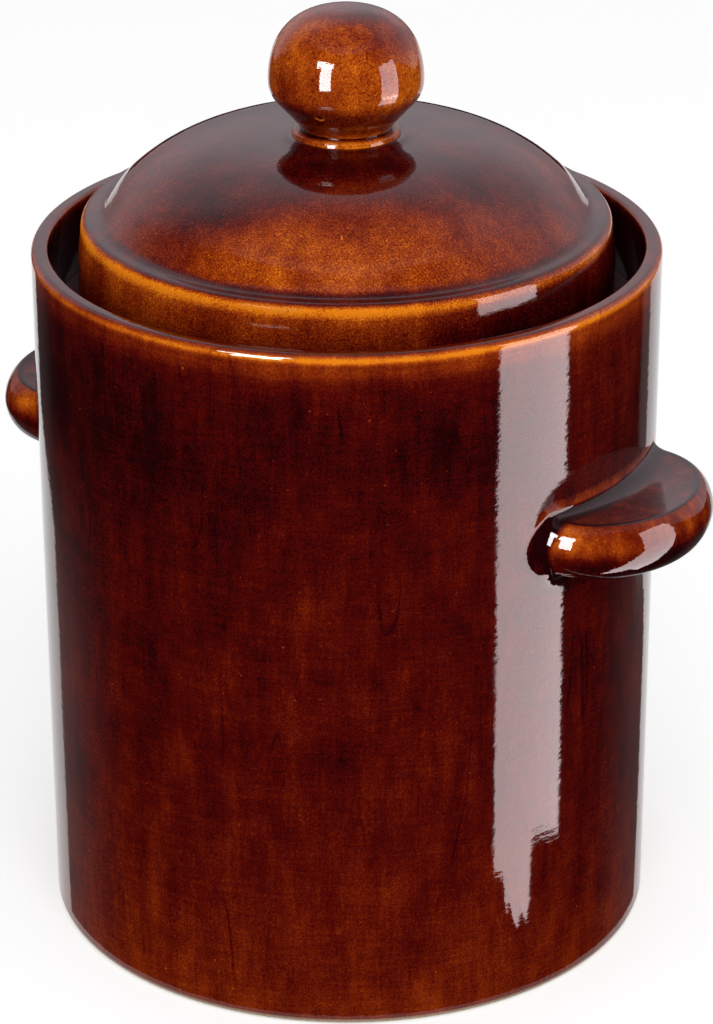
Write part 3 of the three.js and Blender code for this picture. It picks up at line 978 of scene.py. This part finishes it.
back_share = np.linspace(0, 1, 9)[:, None]
back_arc = back_share * band_arc[0]
back_z = LUG_Z + back_share * (band_z[0] - LUG_Z)
back_out = BACK + 0 * back_arc

all_arc = np.concatenate([back_arc, band_arc, fillet_arc, lug_arc])
all_z = np.concatenate([back_z, band_z, fillet_z, lug_z])
all_radius = wall_radius(all_z) + np.concatenate([back_out, band_out, fillet_out, lug_out])
angle = all_arc / lug_wall
lug_grid = np.stack([all_radius * np.cos(angle), all_radius * np.sin(angle), all_z], axis=-1)
print("lug grid is", lug_grid.shape)

# %% [markdown]
# The lugs are honey brown on the roll and dark on top. Underneath they are darker as painted shade,
# in the fillet as painted shade over pooled glaze, and a thin dark line inside the ridge is a painted
# reflection. The left one's glaze is thinner on the roll, its painted shade underneath reaches
# further up, and it is duller.

# %% Glaze on the lugs
FILLET_POOL_AND_SHADE = 1.15
WALL_DEPTH = 0.86
# How much higher the painted shade under the left lug reaches, in millimetres.
LEFT_RAISED = 2.5
LEFT_THINNER = 0.1


def lug_depth_and_shade(raised, thinner):
    """How deep the glaze lies at each point of a lug, with painted shade and light: thin at its ends
    and along its roll, darker underneath as painted shade, darker in the fillet as painted shade over
    pooled glaze, and a thin dark line inside the ridge as a painted reflection. On the wall the slip
    band is lighter above the lug, thin glaze with painted light, and darker below it as painted shade.
    The painted shade of the underside is raised by a height, and the glaze on the roll is thinner by
    an amount."""
    at_edge = bell(np.sin(lug_turns), 0, 0.3)
    at_end = ease(np.abs(lug_arc), 26, 34)
    # The underside is darker: painted shade.
    below = ease(LUG_Z + raised - lug_z, -4, 4)
    on_face = ease(lug_share, LUG_RIDGE - 0.03, LUG_RIDGE + 0.03)
    top_depth = 0.76 - 0.3 * at_edge
    roll_depth_and_shade = 0.56 + 0.42 * below - (0.16 * at_edge + 0.24 * at_end) * (1 - 0.7 * below)
    roll_depth_and_shade = roll_depth_and_shade - thinner * (1 - below)
    depth = top_depth + (roll_depth_and_shade - top_depth) * np.maximum(on_face, below)
    # A thin dark line just inside the ridge on top: painted reflection.
    depth = depth + 0.7 * bell(lug_share, LUG_RIDGE - 0.004, 0.02) * (lug_z > LUG_Z)
    # The slip band on the wall is lighter above the lug, thin glaze with painted light, and darker
    # below it as painted shade.
    band_depth_light_and_shade = WALL_DEPTH + (0.1 - 0.52 * on_top) * (1 - band_share)
    # The fillet is nearly black: painted shade over pooled glaze.
    fillet_depth_and_shade = band_depth_light_and_shade[-1] + (FILLET_POOL_AND_SHADE - band_depth_light_and_shade[-1]) * ease(bend, 0.02, 0.3)
    fillet_depth_and_shade = fillet_depth_and_shade + (depth[0] - fillet_depth_and_shade) * ease(bend, 0.7, 1)
    return np.concatenate([WALL_DEPTH + 0 * back_arc, band_depth_light_and_shade, fillet_depth_and_shade, depth])


half_turn = np.array([-1, -1, 1])
right_depth_and_shade = lug_depth_and_shade(0, 0)
lug_right = mesh_piece("lug_right", lug_grid, {"depth": right_depth_and_shade}, **BOTH_POLES)
left_depth_and_shade = lug_depth_and_shade(LEFT_RAISED, LEFT_THINNER)
lug_left = mesh_piece("lug_left", lug_grid * half_turn, {"depth": left_depth_and_shade}, **BOTH_POLES)

# %% [markdown]
# ## The weights
# The two half-moons of bare fired clay press the vegetables under the brine. They could be cut from a
# turned ring, but then the cut edges would be sharp. So a rounded bar's section is carried round a half
# circle. At both ends it shrinks to a point in the plane of the straight edge, which closes the piece
# with a flat face.

# %% Half-moon weights
WEIGHT_LOW, WEIGHT_HIGH = reach("weight_right")
FINGER_HOLE = 12.0
BAR_ROUND = 2.4
SPLIT = WEIGHT_LOW[0]
weight_radius = WEIGHT_HIGH[0] - SPLIT
bar_corners = [
    (weight_radius, WEIGHT_LOW[2], BAR_ROUND),
    (weight_radius, WEIGHT_HIGH[2], BAR_ROUND),
    (FINGER_HOLE, WEIGHT_HIGH[2], BAR_ROUND),
    (FINGER_HOLE, WEIGHT_LOW[2], BAR_ROUND),
]
bar_line, bar_edge = outline(bar_corners, closed=True)
bar_middle = np.array([(weight_radius + FINGER_HOLE) / 2, (WEIGHT_LOW[2] + WEIGHT_HIGH[2]) / 2])
print("weight section has", len(bar_line), "points")

# %% [markdown]
# Just before each end the section is inset along a quarter circle, which rounds the edges, and then
# it closes within the end's plane.

# %% Carry the section round
END_ROUND = 2.2
SWEEP_STEPS = 90
CLOSING = np.array([0, 0.4, 0.8])

round_off = np.linspace(0, np.pi / 2, 7)
inset_in = END_ROUND * (1 - np.sin(round_off))
start_inset = np.concatenate([np.full(len(CLOSING), END_ROUND), inset_in[:-1]])
inset = np.concatenate([start_inset, np.zeros(SWEEP_STEPS), start_inset[::-1]])
full_size = np.ones(len(inset) - 2 * len(CLOSING))
shrink = np.concatenate([CLOSING, full_size, CLOSING[::-1]])
advance_in = END_ROUND * (1 - np.cos(round_off))
sweep = np.linspace(-np.pi / 2, np.pi / 2, SWEEP_STEPS)
half_size = np.ptp(bar_line, axis=0) / 2
offset = bar_line - bar_middle
scale = (half_size - inset[:, None]) / half_size * shrink[:, None]
section = bar_middle + offset[None] * scale[:, None, :]
count_in = len(start_inset)
bar_turn = np.concatenate([np.full(count_in, -np.pi / 2), sweep, np.full(count_in, np.pi / 2)])
start_back = np.concatenate([np.zeros(len(CLOSING)), advance_in[:-1]])
bar_back = np.concatenate([start_back, np.full(SWEEP_STEPS, END_ROUND), start_back[::-1]])
x = SPLIT + bar_back[:, None] + (section[..., 0] - END_ROUND) * np.cos(bar_turn)[:, None]
y = section[..., 0] * np.sin(bar_turn)[:, None]
weight_grid = np.stack([x, y, section[..., 1]], axis=-1)
bar_values = {"edge": bar_edge}
weight_right = mesh_piece("half_weight_right", weight_grid, bar_values, **BOTH_POLES)
weight_left = mesh_piece("half_weight_left", weight_grid * half_turn, bar_values, **BOTH_POLES)

# %% [markdown]
# ## The glaze
# An iron glaze is brown glass. Its colour depends on how deep it lies: honey over edges, orange
# brown on the lid, deep red on the barrel and almost black in hollows. Real glass over clay would
# render slowly and with noise. So the whole finish is one number, the depth, which a ramp turns into
# colour. On the barrel, lid, knob and lugs that number also holds painted shade and painted light.
# The depth is a sum: the piece's own depth with its painted shade, what the outline noted about
# edges, long runs that flowed down the wall, clouds, fine rings from the potter's fingers, and specks
# of iron. Where it is dry, a share of a matt shader takes its gloss.

# %% Patterns for the glaze
def grain(wire, place, size, stretch=(1, 1, 1), detail=4.0, roughness=0.55):
    """Noise round 0, mostly between -1 and 1, in spots about size millimetres across, before the
    stretch."""
    spot = wire.add("ShaderNodeMapping", None, {"Vector": place, "Scale": stretch})
    settings = {"Vector": spot, "Scale": 1000 / size, "Detail": detail, "Roughness": roughness}
    return 4 * wire.add("ShaderNodeTexNoise", None, settings) - 2


# %% Glaze by depth
GLAZE_STOPS = [
    (0.0, srgb(243, 136, 24)),
    (0.2, srgb(196, 90, 18)),
    (0.4, srgb(150, 54, 11)),
    (0.55, srgb(122, 35, 8)),
    (0.7, srgb(93, 16, 6)),
    (0.8, srgb(77, 7, 5)),
    (0.9, srgb(60, 4, 5)),
    (1.0, srgb(34, 2, 4)),
]
PALE_GROUND = srgb(196, 176, 148)
DARK_GROUND = srgb(170, 148, 120)
GLAZE_RELIEF = 0.00003


def glaze(name, runs, clouds, iron, specks, cloud_size=16, gloss=0.35, has_bare=False, has_dry=False):
    """Brown glaze. How deep the glaze lies at each point, with the painted shade and light that each
    point carries, plus runs, clouds, fine iron and dark specks at these strengths, and faint fibres,
    rings and drawn lines, goes through the colour ramp. Where it lies very thin it can be dry, which
    takes the gloss away."""
    material, shader, wire = new_material(name)
    place = wire.add("ShaderNodeTexCoord", output="Object")
    depth = wire.own("depth")
    run = grain(wire, place, 7, (1, 1, 0.16), 6, 0.7)
    cloud = grain(wire, place, cloud_size, (1, 1, 0.6), 8, 0.68)
    fibre = grain(wire, place, 1.3, (1, 1, 0.12), 3, 0.6)
    rings = grain(wire, place, 1.3, (0.1, 0.1, 1), 3, 0.65)
    dust = grain(wire, place, 0.5, (1, 1, 1), 2, 0.6)
    stroke = wire.maths("ABSOLUTE", grain(wire, place, 20, (1, 1, 0.13), 2, 0.5))
    where = grain(wire, place, 26, (1, 1, 0.8), 2).between(0.1, 0.7)
    drawn = (1 - stroke.between(0.0, 0.05)) * where
    dark_speck = grain(wire, place, 0.9, (1, 1, 1), 2).between(0.2, 0.9)
    pale_speck = grain(wire, place, 1.4, (1, 1, 1), 2).between(0.85, 1.1)
    level = depth + runs * (run + 0.4 * fibre + 0.5 * rings + 1.6 * drawn)
    level = level + clouds * cloud + iron * dust + specks * dark_speck - 0.4 * pale_speck
    colour = wire.add("ShaderNodeValToRGB", {"stops": GLAZE_STOPS}, {"Fac": level})
    roughness = 0.045 + 0.012 * cloud + 0.01 * dust
    if has_bare:
        bare = wire.own("bare")
        sand = grain(wire, place, 0.9, (1, 1, 1), 3, 0.7)
        ground = sand.between(-0.8, 0.8).blend(DARK_GROUND, PALE_GROUND)
        colour = bare.blend(colour, ground)
        roughness = roughness + 0.75 * bare
    wave = grain(wire, place, 22, (1, 1, 0.35), 2)
    skin = grain(wire, place, 1.8, (0.4, 0.4, 1), 3)
    relief = wave + 0.35 * skin
    bump = wire.add("ShaderNodeBump", None, {"Height": relief, "Distance": GLAZE_RELIEF}, "Normal")
    colour.feed(shader, "Base Color")
    roughness.feed(shader, "Roughness")
    bump.feed(shader, "Normal")
    shader.inputs["Specular IOR Level"].default_value = gloss
    if has_dry:
        dry = wire.own("dry")
        no_gloss = {"Base Color": colour, "Roughness": 0.9, "Specular IOR Level": 0.0}
        matt = wire.add("ShaderNodeBsdfPrincipled", None, no_gloss)
        glossy = Wire(wire.tree, shader.outputs[0])
        skin_of_glaze = wire.add("ShaderNodeMixShader", None, {0: dry, 1: glossy, 2: matt})
        skin_of_glaze.feed(wire.tree.nodes["Material Output"], "Surface")
    return material


# %% The six glazes
barrel_glaze = glaze("deep_red_glaze", 0.1, 0.14, 0.16, 0.06, has_bare=True)
ring_glaze = glaze("channel_glaze", 0.05, 0.12, 0.1, 0.06, gloss=0.08)
lid_glaze = glaze("orange_brown_glaze", 0.06, 0.2, 0.28, 0.06, has_dry=True)
knob_glaze = glaze("knob_glaze", 0.03, 0.22, 0.22, 0.24, cloud_size=7)
lug_glaze = glaze("lug_glaze", 0.02, 0.3, 0.15, 0.06, cloud_size=8)
duller_glaze = glaze("duller_lug_glaze", 0.02, 0.3, 0.15, 0.06, cloud_size=8, gloss=0.1)
glazes = [barrel_glaze, ring_glaze, lid_glaze, knob_glaze, lug_glaze, duller_glaze]
print("glazes made:", [made.name for made in glazes])

# %% [markdown]
# ## Bare clay
# The weights are fired without glaze: a pale buff clay with sand in it, darker where brine has
# stained it, and a little lighter along worn edges. One flat colour would look like plastic, so two
# clay tones are mixed by noise.

# %% Clay of the weights
CLAY_RELIEF = 0.0001


def clay(name):
    """Buff clay: a mix of two clay tones by clouds and sand, lighter on edges, with a sandy bump."""
    material, shader, wire = new_material(name)
    place = wire.add("ShaderNodeTexCoord", output="Object")
    edge = wire.own("edge")
    cloud = grain(wire, place, 30)
    sand = grain(wire, place, 0.8, (1, 1, 1), 3, 0.7)
    pit = grain(wire, place, 3.0, (1, 1, 1), 3, 0.6)
    tone = (0.5 + 0.2 * cloud + 0.13 * sand + 0.25 * edge.at_least(0)).between(0.1, 0.9)
    colour = tone.blend(srgb(158, 134, 104), srgb(205, 186, 158))
    relief = sand + 0.8 * pit
    bump = wire.add("ShaderNodeBump", None, {"Height": relief, "Distance": CLAY_RELIEF}, "Normal")
    roughness = 0.82 + 0.03 * sand
    colour.feed(shader, "Base Color")
    roughness.feed(shader, "Roughness")
    bump.feed(shader, "Normal")
    shader.inputs["Specular IOR Level"].default_value = 0.2
    return material


weight_clay = clay("bare_weight_clay")
print("clay made:", weight_clay.name)

# %% [markdown]
# ## Each piece in its place
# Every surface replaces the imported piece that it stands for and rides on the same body, so the lid
# lifts with its knob, and each weight lifts by itself. Parenting by hand could do that too, but a
# table keeps piece, body and finish together in one line.

# %% Ride, replace and paint
places = [
    (barrel, "crock", "crock_body", "body_glaze", barrel_glaze),
    (seal_ring, "crock", "water_seal_collar", "body_glaze", ring_glaze),
    (lug_left, "crock", "left_handle", "edge_glaze", duller_glaze),
    (lug_right, "crock", "right_handle", "edge_glaze", lug_glaze),
    (domed_lid, "lid", "lid", "lid_glaze", lid_glaze),
    (knob, "lid", "lid_knob", "edge_glaze", knob_glaze),
    (weight_left, "weight_left", "weight_left", "bare_clay", weight_clay),
    (weight_right, "weight_right", "weight_right", "bare_clay", weight_clay),
]
for piece, body, node, slot, finish in places:
    piece.data.materials.append(finish)
    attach(piece, body)
    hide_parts(node)
print(len(places), "pieces placed")
